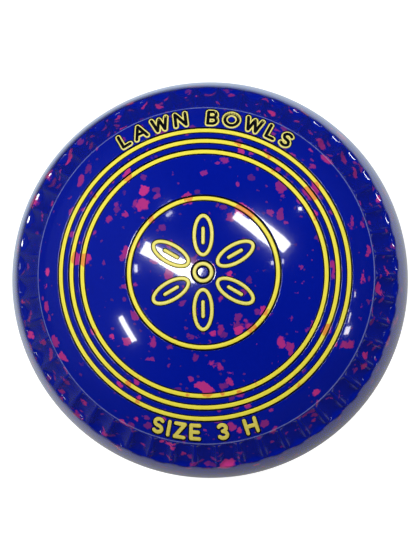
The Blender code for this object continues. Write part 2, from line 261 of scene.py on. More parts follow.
def groove_rows(radius):
    """Rows of a ring's groove, from its inner lip to its outer one, in face_rows' form."""
    half = LINE_WIDTH / 2 + GROOVE_CLEARANCE
    wall = [(half + out * EDGE_ROUND, depth * EDGE_ROUND) for out, depth in GROOVE_LIP]
    wall.append((half, GROOVE_DEPTH))
    # the groove's walls and floor take the near-black painted shade
    down = [(radius - out, depth, SHADED_GROOVE if depth >= EDGE_ROUND else RESIN) for out, depth in wall]
    up = [(radius + out, depth, SHADED_GROOVE if depth > EDGE_ROUND else RESIN)
          for out, depth in reversed(wall)]
    return down + up


def face_rows(side):
    """Rows of the crown as (radius, depth, material of the band that follows)."""
    grooves = sorted(ring_radius(side, name) for name in RING_NAMES)
    if side == "upper":
        grooves = [ring_radius(side, "rosette_centre")] + grooves
    plain = MM * np.arange(CROWN_ROW_STEP, RIM_RADIUS / MM - CROWN_ROW_MARGIN, CROWN_ROW_STEP)
    clear = LINE_WIDTH / 2 + GROOVE_CLEARANCE + GROOVE_LIP[0][0] * EDGE_ROUND + GROOVE_ROW_MARGIN
    rows = [(r, 0.0, RESIN) for r in plain if all(abs(r - groove) > clear for groove in grooves)]
    for groove in grooves:
        rows += groove_rows(groove)
    return sorted(rows, key=lambda row: round(row[0], RADIUS_DIGITS))


def measured_curve(side):
    """From the rim outwards: normal angles, how far along the surface each is, and the grips' end."""
    first = float(tilt_at(side, [RIM_RADIUS])[0])
    tilts = np.linspace(first, math.pi / 2, CURVE_SAMPLES)
    r, z = face_points(side, tilts, 0.0)
    travelled = np.concatenate(([0.0], np.cumsum(np.hypot(np.diff(r), np.diff(z)))))
    length = float(np.interp(GRIP_END_RADIUS, r, travelled))
    return tilts, travelled, length


def grip_stops(length):
    """Rows of the grip band, as (distance from the rim, step under the face)."""
    stops = [(s * MM, depth * MM) for s, depth in RIM_EDGE]
    stops += [(GRIP_START + s * MM, RIM_STEP) for s in END_STOPS]
    first = GRIP_START + END_STOPS[-1] * MM
    last = length - FAR_END_STOPS[-1] * MM
    stops += [(s, RIM_STEP) for s in np.linspace(first, last, MIDDLE_ROWS + 2)[1:-1]]
    stops += [(length - s * MM, RIM_STEP) for s in reversed(FAR_END_STOPS)]
    return stops


class ShellMesh:
    """Collects rings of vertices about the axis and the bands of faces between them."""

    def __init__(self):
        self.points = []
        self.faces = []
        self.materials = []

    def add_ring(self, points):
        start = sum(len(p) for p in self.points)
        self.points.append(points)
        return np.arange(start, start + len(points))

    def add_face(self, corners, material, flip):
        self.faces.append(corners[::-1] if flip else corners)
        self.materials.append(material)

    def add_band(self, upper, lower, material=RESIN):
        """Faces between two rings. The finer has a whole number of columns for each coarser one."""
        fine, coarse = (upper, lower) if len(upper) >= len(lower) else (lower, upper)
        flip = coarse is not lower
        ratio = len(fine) // len(coarse)
        middle = ratio // 2
        for i in range(len(coarse)):
            a = coarse[i]
            b = coarse[(i + 1) % len(coarse)]
            run = [fine[(i * ratio + k) % len(fine)] for k in range(ratio + 1)]
            if ratio == 1:
                self.add_face((a, run[0], run[1], b), material, flip)
                continue
            for k in range(middle):
                self.add_face((a, run[k], run[k + 1]), material, flip)
            self.add_face((a, run[middle], b), material, flip)
            for k in range(middle, ratio):
                self.add_face((b, run[k], run[k + 1]), material, flip)


def coarse_angles():
    return np.arange(COARSE_COLUMNS) * 2 * math.pi / COARSE_COLUMNS


def ring_points(side, r, z, angles):
    flat = np.column_stack((np.cos(angles) * r, np.sin(angles) * r, np.broadcast_to(z, angles.shape)))
    return to_bowl(flat, side)


def shell_half(shell, side, middle_ring):
    """Adds one side, from its pole to the shared ring on the middle plane."""
    coarse = coarse_angles()
    shares = np.array(GRIP_COLUMNS)
    fine = ((np.arange(GRIP_COUNT)[:, None] + shares[None, :]) * 2 * math.pi / GRIP_COUNT).ravel()
    is_upper = side == "upper"

    def band(above, below, material=RESIN):
        if is_upper:
            shell.add_band(above, below, material)
        else:
            shell.add_band(below, above, material)

    # the crown, with its ring grooves
    previous = None
    material = RESIN
    for radius, depth, next_material in face_rows(side):
        r, z = face_points(side, tilt_at(side, [radius]), depth)
        ring = shell.add_ring(ring_points(side, r[0], z[0], coarse))
        if previous is None:
            _, pole_z = face_points(side, [0.0], 0.0)
            pole = shell.add_ring(to_bowl(np.array([[0.0, 0.0, pole_z[0]]]), side))
            for i in range(COARSE_COLUMNS):
                corners = (pole[0], ring[i], ring[(i + 1) % COARSE_COLUMNS])
                shell.add_face(corners, RESIN, not is_upper)
        else:
            band(previous, ring, material)
        previous = ring
        material = next_material

    # the rim and the grips
    tilts, travelled, length = measured_curve(side)
    for row, (s, step) in enumerate(grip_stops(length)):
        # before the rim the surface still follows the crown
        tilt = tilts[0] + s / SHOULDER_RADIUS if s < 0 else float(np.interp(s, travelled, tilts))
        fade = np.clip((length + STEP_FADE_PAST - s) / STEP_FADE_LENGTH, 0.0, 1.0)
        base_r, _ = face_points(side, [tilt], 0.0)
        half_pitch = math.pi * base_r[0] / GRIP_COUNT
        across = (np.tile(shares, GRIP_COUNT) - 0.5) * 2 * half_pitch
        depth = step * fade + scoop_depth(s, length, across)
        r, z = face_points(side, np.full(fine.shape, tilt), depth)
        ring = shell.add_ring(ring_points(side, r, z, fine))
        # the first rows over the rim's rounded edge take its painted highlight
        band(previous, ring, RIM_HIGHLIGHT if 0 < row <= BRIGHT_EDGE_ROWS else RESIN)
        previous = ring

    # the running sole
    last_tilt = tilt
    for i in range(1, SOLE_BANDS):
        tilt = last_tilt + (math.pi / 2 - last_tilt) * i / SOLE_BANDS
        r, z = face_points(side, [tilt], 0.0)
        ring = shell.add_ring(ring_points(side, r[0], z[0], coarse))
        band(previous, ring)
        previous = ring
    if not is_upper:
        middle_ring = middle_ring[(-np.arange(COARSE_COLUMNS)) % COARSE_COLUMNS]
    band(previous, middle_ring)


def new_object(name, points, faces, materials=(), indices=None):
    """A smooth mesh object, with a material index for each face where they are given."""
    mesh = bpy.data.meshes.new(name)
    mesh.from_pydata([tuple(p) for p in points], [], [tuple(int(i) for i in face) for face in faces])
    for material in materials:
        mesh.materials.append(material)
    if indices is not None:
        mesh.polygons.foreach_set("material_index", np.array(indices, np.int32))
    mesh.shade_smooth()
    item = bpy.data.objects.new(name, mesh)
    bpy.context.scene.collection.objects.link(item)
    return item


def face_outwards(mesh, most_corners=None):
    """Turns every face outwards, and first cuts up those with more corners than a number."""
    bm = bmesh.new()
    bm.from_mesh(mesh)
    if most_corners:
        bmesh.ops.triangulate(bm, faces=[f for f in bm.faces if len(f.verts) > most_corners])
    bmesh.ops.recalc_face_normals(bm, faces=bm.faces)
    bm.to_mesh(mesh)
    bm.free()


def smooth_to_angle(mesh):
    mesh.shade_smooth()
    mesh.set_sharp_from_angle(angle=SHARP_ANGLE)


def add_boolean(item, operation, other):
    step = item.modifiers.new("step", "BOOLEAN")
    step.operation = operation
    step.solver = "MANIFOLD"
    step.object = other


def evaluated_mesh(item):
    """A new mesh of an object as its modifiers leave it."""
    bpy.context.view_layer.update()
    return bpy.data.meshes.new_from_object(item.evaluated_get(bpy.context.evaluated_depsgraph_get()))


def make_shell(materials):
    shell = ShellMesh()
    middle_ring = shell.add_ring(ring_points("upper", RUNNING_RADIUS, 0.0, coarse_angles()))
    for side in SIDES:
        shell_half(shell, side, middle_ring)
    item = new_object("bowl_shell", np.vstack(shell.points), shell.faces, materials, shell.materials)
    face_outwards(item.data)
    return item


# ------------------------------ strokes and letters

def quarter_turns(centre, radii, start, end):
    """Points along part of an ellipse. The angles are in quarter turns, anticlockwise from +X."""
    count = max(2, round(abs(end - start) * QUARTER_STEPS))
    angles = [math.pi / 2 * (start + (end - start) * i / count) for i in range(count + 1)]
    return [(centre[0] + radii[0] * math.cos(a), centre[1] + radii[1] * math.sin(a)) for a in angles]


# Each letter is its width and its pen strokes, with the letter's height as 1.
GLYPHS = {
    "A": (0.84, [[(0.0, 0.0), (0.42, 1.0), (0.84, 0.0)], [(0.17, 0.34), (0.67, 0.34)]]),
    "B": (0.62, [[(0.0, 0.0), (0.0, 1.0)],
                 [(0.0, 1.0)] + quarter_turns((0.32, 0.76), (0.25, 0.24), 1, -1) + [(0.0, 0.52)],
                 [(0.0, 0.52)] + quarter_turns((0.34, 0.26), (0.28, 0.26), 1, -1) + [(0.0, 0.0)]]),
    "E": (0.60, [[(0.60, 1.0), (0.0, 1.0), (0.0, 0.0), (0.60, 0.0)], [(0.0, 0.5), (0.52, 0.5)]]),
    "H": (0.74, [[(0.0, 0.0), (0.0, 1.0)], [(0.0, 0.5), (0.74, 0.5)], [(0.74, 0.0), (0.74, 1.0)]]),
    "I": (0.0, [[(0.0, 1.0), (0.0, 0.0)]]),
    "L": (0.56, [[(0.0, 1.0), (0.0, 0.0), (0.56, 0.0)]]),
    "N": (0.76, [[(0.0, 0.0), (0.0, 1.0), (0.76, 0.0), (0.76, 1.0)]]),
    "O": (1.00, [quarter_turns((0.50, 0.50), (0.50, 0.50), 0, 4)]),
    "S": (0.60, [quarter_turns((0.30, 0.75), (0.29, 0.25), 0.4, 3)
                 + quarter_turns((0.30, 0.25), (0.30, 0.25), 1, -1.6)[1:]]),
    "W": (1.12, [[(0.0, 1.0), (0.28, 0.0), (0.56, 0.92), (0.84, 0.0), (1.12, 1.0)]]),
    "Z": (0.66, [[(0.0, 1.0), (0.66, 1.0), (0.0, 0.0), (0.66, 0.0)]]),
    "3": (0.58, [quarter_turns((0.28, 0.765), (0.27, 0.235), 1.7, -1),
                 quarter_turns((0.28, 0.255), (0.30, 0.255), 1, -1.7)]),
}


def rounded_section(half, top, bottom, rounding, dome=0.0):
    """A stroke's half section, and the depth of its middle.

    The section is (distance from the middle, depth) from the bottom edge over the rounded top edge.
    """
    section = [(half, bottom)]
    for angle in ROUNDING_ANGLES:
        a = math.radians(angle)
        section.append((half - rounding * (1 - math.cos(a)), top + rounding * (1 - math.sin(a))))
    return section, top - dome


def pocket_section(half):
    """The plain upright section that cuts a pocket, in rounded_section's form."""
    return [(half, GROOVE_DEPTH), (half, -CUT_ABOVE)], -CUT_ABOVE


def beside(path, distance, closed):
    """Points at a distance to the left of a path, mitred where it turns."""
    count = len(path)
    points = []
    for i, here in enumerate(path):
        before = path[i - 1] if closed or i > 0 else None
        after = path[(i + 1) % count] if closed or i < count - 1 else None
        arriving = (here - before).normalized() if before is not None else (after - here).normalized()
        leaving = (after - here).normalized() if after is not None else arriving
        heading = (arriving + leaving).normalized()
        left = Vector((-heading.y, heading.x))
        points.append(here + left * distance / max(heading.dot(arriving), MITRE_LIMIT))
    return points


def cap(centre, heading, distance):
    """Points round the end of a stroke, from its right to its left, without the first and last."""
    left = Vector((-heading.y, heading.x))
    angles = [math.pi * i / CAP_STEPS for i in range(CAP_STEPS - 1, 0, -1)]
    return [centre + distance * (left * math.cos(a) + heading * math.sin(a)) for a in angles]


def bridge(loop, following):
    """Faces between two loops of the same length."""
    faces = []
    for i in range(len(loop)):
        j = (i + 1) % len(loop)
        faces.append((loop[i], loop[j], following[j], following[i]))
    return faces


def ribbon(path, closed, section, middle_depth):
    """(points, faces) of a raised stroke along a flat path, with round ends where it is open."""
    path = [Vector(p) for p in path]
    if closed and (path[0] - path[-1]).length < CLOSING_GAP:
        path = path[:-1]
    points = []
    faces = []
    count = len(path)

    def add_loop(loop, depth):
        start = len(points)
        points.extend((p.x, p.y, -depth) for p in loop)
        return list(range(start, start + len(loop)))

    if closed:
        lanes = [add_loop(beside(path, -offset, True), depth) for offset, depth in section]
        lanes.append(add_loop(path, middle_depth))
        lanes += [add_loop(beside(path, offset, True), depth) for offset, depth in reversed(section)]
        for lane, following in zip(lanes, lanes[1:] + lanes[:1]):
            faces += bridge(lane, following)
        return points, faces

    # An open stroke: loops up its outline, a spine along its top, and a flat bottom
    forward = (path[-1] - path[-2]).normalized()
    backward = (path[0] - path[1]).normalized()
    loops = []
    for offset, depth in section:
        outline = beside(path, -offset, False) + cap(path[-1], forward, offset)
        outline += reversed(beside(path, offset, False))
        loops.append(add_loop(outline + cap(path[0], backward, offset), depth))
    for loop, following in zip(loops, loops[1:]):
        faces += bridge(loop, following)
    spine = add_loop(path, middle_depth)
    top = loops[-1]
    bottom = loops[0]
    last_left = 2 * count + CAP_STEPS - 2

    def left_of(loop, i):
        """The corner of a loop to the left of a point of the path."""
        return loop[last_left - i]

    for i in range(count - 1):
        faces.append((top[i], top[i + 1], spine[i + 1], spine[i]))
        faces.append((spine[i], spine[i + 1], left_of(top, i + 1), left_of(top, i)))
        faces.append((bottom[i + 1], bottom[i], left_of(bottom, i), left_of(bottom, i + 1)))
    end_run = list(range(count - 1, count + CAP_STEPS))
    start_run = list(range(last_left, len(top))) + [0]
    for run, tip in ((end_run, spine[-1]), (start_run, spine[0])):
        for a, b in zip(run, run[1:]):
            faces.append((top[a], top[b], tip))
        faces.append(tuple(bottom[k] for k in reversed(run)))
    return points, faces


def solid_letter(strokes, half, top, bottom, rounding, channel=None):
    """A flat letter: the union of a capsule for each piece of its strokes, less any channel."""
    pieces = [(a, b) for stroke in strokes for a, b in zip(stroke, stroke[1:])]
    section = rounded_section(half, top, bottom, rounding)
    items = [new_object("stroke", *ribbon(piece, False, *section)) for piece in pieces]
    base = items[0]
    for item in items[1:]:
        add_boolean(base, "UNION", item)
    if channel:
        section = rounded_section(channel, top - CHANNEL_OVERRUN, bottom + CHANNEL_OVERRUN,
                                  CUTTER_ROUNDING)
        for piece in pieces:
            item = new_object("stroke", *ribbon(piece, False, *section))
            add_boolean(base, "DIFFERENCE", item)
            items.append(item)
    mesh = evaluated_mesh(base)
    for item in items:
        bpy.data.objects.remove(item, do_unlink=True)
    points = np.array([v.co for v in mesh.vertices], float).reshape(-1, 3)
    faces = [tuple(p.vertices) for p in mesh.polygons]
    return points, faces


letter_cache = {}


def letter_shapes(letter, line):
    """A letter's enamel and its pocket, drawn flat about its own middle."""
    key = (letter, line["label"])
    if key not in letter_cache:
        width, strokes = GLYPHS[letter]
        height = line["height"]
        strokes = [[((x - width / 2) * height, (y - 0.5) * height) for x, y in stroke]
                   for stroke in strokes]
        enamel = solid_letter(strokes, line["half"], ENAMEL_TOP, ENAMEL_BOTTOM, LETTER_ROUNDING,
                              line["channel"])
        pocket = solid_letter(strokes, line["half"] + line["clearance"], -CUT_ABOVE, GROOVE_DEPTH,
                              CUTTER_ROUNDING)
        letter_cache[key] = (enamel, pocket)
    return letter_cache[key]


def letter_places(line):
    """(number, letter, angle from the arc's middle) for every letter of a line, in reading order."""
    widths = [SPACE_WIDTH if letter == " " else GLYPHS[letter][0] for letter in line["text"]]
    total = sum(widths) * line["height"] + (len(widths) - 1) * line["tracking"]
    places = []
    travelled = -total / 2
    number = 0
    for letter, width in zip(line["text"], widths):
        if letter != " ":
            number += 1
            places.append((number, letter, (travelled + width * line["height"] / 2) / line["radius"]))
        travelled += width * line["height"] + line["tracking"]
    return places


def place_letter(points, line, angle):
    """Moves a letter drawn about its own middle to its place on the arc."""
    outward = line["outward"]
    turn = np.array(Matrix.Rotation(-outward * angle, 2))
    flat = points[:, :2] + np.array((0.0, outward * line["radius"]))
    return np.column_stack((flat @ turn.T, points[:, 2]))


def petal_strokes(side, index):
    """The flat outline of a petal, sized by its CAD node, and on the upper side the line inside it."""
    low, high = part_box(f"{side}_petal_1")
    half_width = high.x - LINE_WIDTH / 2
    ends = sorted(abs(v) for v in (low.y, high.y))
    inner = ends[0] + LINE_WIDTH / 2
    outer = ends[1] - LINE_WIDTH / 2
    oval = [((inner + outer) / 2 + (outer - inner) / 2 * x, half_width * y)
            for x, y in circle(1.0, PETAL_POINTS)]
    vein = []
    if side == "upper":
        low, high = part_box("upper_petal_vein_1")
        vein = [(low.y + LINE_WIDTH / 2, 0.0), (high.y - LINE_WIDTH / 2, 0.0)]
    turn = Matrix.Rotation(math.pi / 2 + index * 2 * math.pi / PETAL_COUNT, 2)
    return [tuple(turn @ Vector(p)) for p in oval], [tuple(turn @ Vector(p)) for p in vein]


# ------------------------------ materials

# The Mix node's sockets for colours
MIX_FIRST = 6
MIX_SECOND = 7
MIX_RESULT = 2


class Nodes:
    """A short way to build the node tree of a material or a world."""

    def __init__(self, owner):
        owner.use_nodes = True
        self.owner = owner
        self.tree = owner.node_tree

    def add(self, kind, inputs=(), **settings):
        node = self.tree.nodes.new(kind)
        for key, value in settings.items():
            setattr(node, key, value)
        for key, value in dict(inputs).items():
            self.put(node.inputs[key], value)
        return node

    def put(self, socket, value):
        if isinstance(value, bpy.types.NodeSocket):
            self.tree.links.new(value, socket)
        elif isinstance(value, tuple) and len(value) == 3 and socket.type == "RGBA":
            socket.default_value = (*value, 1.0)
        else:
            socket.default_value = value

    def set_shader(self, inputs):
        """Sets up the material's own shader, and returns its output."""
        shader = self.tree.nodes["Principled BSDF"]
        for key, value in inputs.items():
            self.put(shader.inputs[key], value)
        return shader.outputs[0]

    def by_ray(self, ray, seen, otherwise):
        """One shader for a kind of ray, and another for the rest."""
        path = self.add("ShaderNodeLightPath")
        inputs = {0: path.outputs[ray], 1: otherwise, 2: seen}
        return self.add("ShaderNodeMixShader", inputs).outputs[0]

    def math(self, operation, a, b=0.0, c=0.0, clamp=False):
        node = self.add("ShaderNodeMath", {0: a, 1: b, 2: c}, operation=operation, use_clamp=clamp)
        return node.outputs[0]

    def vector(self, operation, a, b=(0.0, 0.0, 0.0), output=0):
        return self.add("ShaderNodeVectorMath", {0: a, 1: b}, operation=operation).outputs[output]

    def mix(self, factor, a, b):
        inputs = {0: factor, MIX_FIRST: a, MIX_SECOND: b}
        return self.add("ShaderNodeMix", inputs, data_type="RGBA").outputs[MIX_RESULT]

    def remap(self, value, given, wanted, shape="LINEAR"):
        """A value's range moved from one pair of numbers to another, and clamped to it."""
        inputs = {"Value": value, "From Min": given[0], "From Max": given[1],
                  "To Min": wanted[0], "To Max": wanted[1]}
        return self.add("ShaderNodeMapRange", inputs, interpolation_type=shape).outputs[0]

    def noise(self, coords, scale, detail=2.0, roughness=0.5, output="Fac"):
        inputs = {"Vector": coords, "Scale": scale, "Detail": detail, "Roughness": roughness}
        return self.add("ShaderNodeTexNoise", inputs).outputs[output]

    def bump(self, height, strength, distance):
        inputs = {"Height": height, "Strength": strength, "Distance": distance}
        return self.add("ShaderNodeBump", inputs).outputs[0]

    def coords(self):
        return self.add("ShaderNodeTexCoord").outputs["Object"]


FULL_RANGE = (0.0, 1.0)
NOISE_MEAN = (0.5, 0.5, 0.5)

# Colours, each as a pair that a fine grain mixes
RESIN_BLUES = ((0.0003, 0.0048, 0.212), (0.0008, 0.0078, 0.282))
# near-black painted shade for the insides of the grooves and pockets
GROOVE_SHADE_BLACKS = ((0.0012, 0.0014, 0.004), (0.004, 0.005, 0.014))
CORE_GREYS = ((0.02, 0.02, 0.024), (0.04, 0.04, 0.045))
RING_YELLOWS = ((0.68, 0.585, 0.030), (0.74, 0.655, 0.066))
EMBLEM_YELLOWS = ((0.63, 0.56, 0.085), (0.72, 0.66, 0.16))
WORD_YELLOWS = ((0.62, 0.55, 0.11), (0.72, 0.66, 0.20))
SIZE_YELLOWS = ((0.56, 0.46, 0.035), (0.72, 0.62, 0.11))
FLOOR_GREYS = ((0.38, 0.38, 0.38), (0.42, 0.42, 0.42))
# the pale blue of the rim's painted highlight, where its edge would catch the light
RIM_HIGHLIGHT_BLUE = (0.27, 0.32, 0.62)
STAINED_ORANGE = (0.66, 0.24, 0.03)

BROAD_SHARE = 0.65                # of the blue's unevenness that is broad, and not fine
RIM_HIGHLIGHT_SHARE = 0.45                   # how far the rim's painted highlight pales it on average,
RIM_HIGHLIGHT_CHANGE = 0.6                 # and how much that changes along it
POLISH_ROUGHNESS = (0.10, 0.15)
ENAMEL_ROUGHNESS = 0.38
SIZE_ROUGHNESS = 0.42
ROUGHNESS_CHANGE = 0.08           # up and down, from patch to patch of the enamel

# The chips of each size: their size, the share of cells that hold one, how the pattern is stretched,
# how much of a cell the largest fill, and their dimmest and brightest colours
FLECKS = (
    (0.8 * MM, 0.020, (1.0, 1.2, 0.9), 0.80, (0.04, 0.012, 0.17), (0.11, 0.016, 0.19)),
    (1.7 * MM, 0.052, (0.9, 1.0, 1.2), 0.84, (0.07, 0.013, 0.18), (0.26, 0.022, 0.20)),
    (3.0 * MM, 0.080, (1.25, 0.85, 1.0), 0.74, (0.10, 0.014, 0.17), (0.45, 0.026, 0.19)),
    (5.2 * MM, 0.050, (0.9, 1.15, 1.0), 0.58, (0.28, 0.018, 0.16), (0.50, 0.034, 0.21)),
)
STAINING_FLECKS = FLECKS[2:]      # the larger chips, which also show in the rings' enamel
STAIN_FILL = 0.66
# The waviness of a chip's edge: (frequency, amount), with the chip's size as 1
FLECK_WOBBLES = ((1.1, 0.8), (3.6, 0.40))
FLECK_EDGE = 0.10
FLECK_REACH = (0.55, 0.45)        # how much a chip's reach varies, and its least, of the fill
CLUMP_SCALE = 0.16
CLUMP_RANGE = (0.38, 0.62)
CLUMP_SHARES = (0.5, 1.5)         # chips are this much rarer or commoner from clump to clump


def fleck_mask(nodes, coords, size, share, stretch, fill):
    """Chips of one size: a share of a cell pattern's cells, each filled from its middle."""
    moved = coords
    for frequency, amount in FLECK_WOBBLES:
        wobble = nodes.noise(coords, scale=frequency / size, roughness=0.6, output="Color")
        wobble = nodes.vector("SUBTRACT", wobble, NOISE_MEAN)
        moved = nodes.vector("ADD", moved, nodes.vector("MULTIPLY", wobble, (size * amount,) * 3))
    moved = nodes.vector("MULTIPLY", moved, stretch)
    cells = nodes.add("ShaderNodeTexVoronoi", {"Vector": moved, "Scale": 1.0 / size, "Randomness": 1.0})
    pick = nodes.add("ShaderNodeSeparateColor", {0: cells.outputs["Color"]})
    clumps = nodes.noise(cells.outputs["Position"], scale=CLUMP_SCALE, detail=1.0)
    clumps = nodes.remap(clumps, CLUMP_RANGE, (share * CLUMP_SHARES[0], share * CLUMP_SHARES[1]))
    chosen = nodes.math("LESS_THAN", pick.outputs[0], clumps)
    reach = nodes.math("MULTIPLY_ADD", pick.outputs[1], fill * FLECK_REACH[0], fill * FLECK_REACH[1])
    inside = nodes.math("SUBTRACT", reach, cells.outputs["Distance"])
    inside = nodes.math("DIVIDE", inside, FLECK_EDGE, clamp=True)
    return nodes.math("MULTIPLY", chosen, inside), pick.outputs[2]


def resin_material(name, edge_highlight=0.0):
    """The speckled resin. A painted highlight may pale it, as along the sharp rim's edge, where it
    stands for the light that edge catches.
    """
    nodes = Nodes(bpy.data.materials.new(name))
    coords = nodes.coords()
    broad = nodes.math("MULTIPLY", nodes.noise(coords, scale=60.0, detail=3.0), BROAD_SHARE)
    blend = nodes.math("MULTIPLY_ADD", nodes.noise(coords, scale=900.0), 1 - BROAD_SHARE, broad)
    colour = nodes.mix(blend, *RESIN_BLUES)
    for size, share, stretch, fill, dim, bright in FLECKS:
        mask, tone = fleck_mask(nodes, coords, size, share, stretch, fill)
        colour = nodes.mix(mask, colour, nodes.mix(tone, dim, bright))
    # painted highlight: a pale blue standing in for the light that the rim's edge catches
    if edge_highlight:
        highlight_mix = nodes.math("MULTIPLY_ADD", nodes.noise(coords, scale=700.0), RIM_HIGHLIGHT_CHANGE,
                            edge_highlight - RIM_HIGHLIGHT_CHANGE / 2)
        colour = nodes.mix(highlight_mix, colour, RIM_HIGHLIGHT_BLUE)
    haze = nodes.noise(coords, scale=420.0, detail=3.0)
    ripple = nodes.noise(coords, scale=260.0, detail=3.0, roughness=0.6)
    ripple = nodes.bump(ripple, strength=0.05, distance=0.02 * MM)
    nodes.set_shader({
        "Base Color": colour,
        "Roughness": nodes.remap(haze, FULL_RANGE, POLISH_ROUGHNESS),
        "Specular IOR Level": 0.28,
        "Coat Weight": 1.0,
        "Coat Roughness": 0.035,
        "Coat IOR": 1.55,
        "Normal": ripple,
        "Coat Normal": ripple,
    })
    return nodes.owner


def groove_shade_material():
    """The nearly black inside of the engraving: painted shade, where its walls and floor lie in shadow.
    """
    nodes = Nodes(bpy.data.materials.new("groove_painted_shade"))
    grain = nodes.noise(nodes.coords(), scale=2500.0, detail=3.0)
    nodes.set_shader({
        "Base Color": nodes.mix(grain, *GROOVE_SHADE_BLACKS),
        "Roughness": 0.7,
        "Specular IOR Level": 0.1,
    })
    return nodes.owner


def enamel_material(name, colours, roughness, stain=None):
    """Brushed-on yellow enamel. A stain shows where the chips around it meet the line."""
    nodes = Nodes(bpy.data.materials.new(name))
    coords = nodes.coords()
    colour = nodes.mix(nodes.noise(coords, scale=700.0, detail=3.0, roughness=0.6), *colours)
    if stain:
        for size, share, stretch, *_ in STAINING_FLECKS:
            mask, _ = fleck_mask(nodes, coords, size, share, stretch, STAIN_FILL)
            colour = nodes.mix(mask, colour, stain)
    patchy = nodes.noise(coords, scale=1500.0)
    brushed = nodes.noise(coords, scale=1800.0, detail=3.0)
    limits = (roughness - ROUGHNESS_CHANGE, roughness + ROUGHNESS_CHANGE)
    nodes.set_shader({
        "Base Color": colour,
        "Roughness": nodes.remap(patchy, FULL_RANGE, limits),
        "Specular IOR Level": 0.35,
        "Normal": nodes.bump(brushed, strength=0.25, distance=0.05 * MM),
    })
    return nodes.owner


def core_material():
    """The core's dark resin, which the shell hides."""
    nodes = Nodes(bpy.data.materials.new("core_resin"))
    grain = nodes.noise(nodes.coords(), scale=400.0, detail=3.0)
    nodes.set_shader({
        "Base Color": nodes.mix(grain, *CORE_GREYS),
        "Roughness": 0.5,
    })
    return nodes.owner


resin = resin_material("speckled_resin")
# the resin of the rim's rounded edge, with its painted highlight
rim_highlight_resin = resin_material("rim_painted_highlight", RIM_HIGHLIGHT_SHARE)
# painted shade for the insides of the grooves and pockets
groove_shade = groove_shade_material()
ring_enamel = enamel_material("ring_enamel", RING_YELLOWS, ENAMEL_ROUGHNESS, STAINED_ORANGE)
emblem_enamel = enamel_material("emblem_enamel", EMBLEM_YELLOWS, ENAMEL_ROUGHNESS)
word_enamel = enamel_material("word_enamel", WORD_YELLOWS, ENAMEL_ROUGHNESS)
size_enamel = enamel_material("size_enamel", SIZE_YELLOWS, SIZE_ROUGHNESS)
SHELL_MATERIALS = (resin, groove_shade, rim_highlight_resin)      # in the order of the resin, the grooves' painted shade and the rim's painted highlight


# ------------------------------ the object

pockets = {side: ([], []) for side in SIDES}


def add_enamel(node, side, points, faces, material):
    """Lays a flat enamel piece on a side of the bowl, in place of its CAD node."""
    points = np.array(points, float)
    laid = to_bowl(lay_on_face(points, side), side)
    # the second material paints shade on the sides, deep in the engraving
    shaded_sides = [int(-points[list(face), 2].mean() > SIDE_SHADE_DEPTH) for face in faces]
    item = new_object(f"{node}_enamel", laid, faces, (material, groove_shade), shaded_sides)
    face_outwards(item.data, most_corners=4)
    smooth_to_angle(item.data)
    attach(item, "root")
    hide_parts(node)


def add_pocket(side, points, faces):
    """Lays a flat pocket on a side of the bowl and adds it to that side's cutter."""
    all_points, all_faces = pockets[side]
    start = len(all_points)
    laid = to_bowl(lay_on_face(np.array(points, float), side), side)
    all_points.extend(map(tuple, laid))
    all_faces.extend(tuple(start + i for i in face) for face in faces)


def add_rings(side):
    """The enamel of the rings. Their grooves are part of the shell's own mesh."""
    for name in RING_NAMES:
        rounding, dome = (FINE_ROUNDING, FINE_DOME) if name == "emblem_ring" else (RING_ROUNDING, 0.0)
        section = rounded_section(LINE_WIDTH / 2, ENAMEL_TOP, ENAMEL_BOTTOM, rounding, dome)
        points, faces = ribbon(circle(ring_radius(side, name)), True, *section)
        add_enamel(f"{side}_{name}", side, points, faces, ring_enamel)


def add_rosette(side):
    section = rounded_section(EMBLEM_HALF, ENAMEL_TOP, ENAMEL_BOTTOM, FINE_ROUNDING, FINE_DOME)
    pocket = pocket_section(EMBLEM_HALF + EMBLEM_CLEARANCE)
    if side == "upper":
        centre = circle(ring_radius(side, "rosette_centre"), CENTRE_POINTS)
        add_enamel("upper_rosette_centre", side, *ribbon(centre, True, *section), emblem_enamel)
    for i in range(PETAL_COUNT):
        oval, vein = petal_strokes(side, i)
        add_enamel(f"{side}_petal_{i + 1}", side, *ribbon(oval, True, *section), emblem_enamel)
        add_pocket(side, *ribbon(oval, True, *pocket))
        if vein:
            add_enamel(f"{side}_petal_vein_{i + 1}", side, *ribbon(vein, False, *section), emblem_enamel)
            add_pocket(side, *ribbon(vein, False, *pocket))


def add_lettering(side, line, material):
    for number, letter, angle in letter_places(line):
        (points, faces), (pocket_points, pocket_faces) = letter_shapes(letter, line)
        node = f"{side}_{line['label']}_{number}_{letter}"
        add_enamel(node, side, place_letter(points, line, angle), faces, material)
        add_pocket(side, place_letter(pocket_points, line, angle), pocket_faces)


def cut_pockets(shell, side):
    """Cuts the pockets of one side's letters and petals out of the shell."""
    points, faces = pockets[side]
    # the pockets' walls and floors take the near-black painted shade
    cutter = new_object(f"{side}_pocket_cutter", points, faces, SHELL_MATERIALS, [SHADED_GROOVE] * len(faces))
    face_outwards(cutter.data, most_corners=3)
    add_boolean(shell, "DIFFERENCE", cutter)
    mesh = evaluated_mesh(shell)
    shell.modifiers.clear()
    shell.data = mesh
    bpy.data.objects.remove(cutter, do_unlink=True)


shell = make_shell(SHELL_MATERIALS)
for side in SIDES:
    add_rings(side)
    add_rosette(side)
    add_lettering(side, WORD, word_enamel)
    add_lettering(side, SIZE_MARK, size_enamel)
for side in SIDES:
    cut_pockets(shell, side)
smooth_to_angle(shell.data)
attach(shell, "root")
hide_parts("shell_upper", "shell_lower")

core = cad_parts["core"]
for material_slot in core.material_slots:
    material_slot.material = core_material()


# ------------------------------ the floor

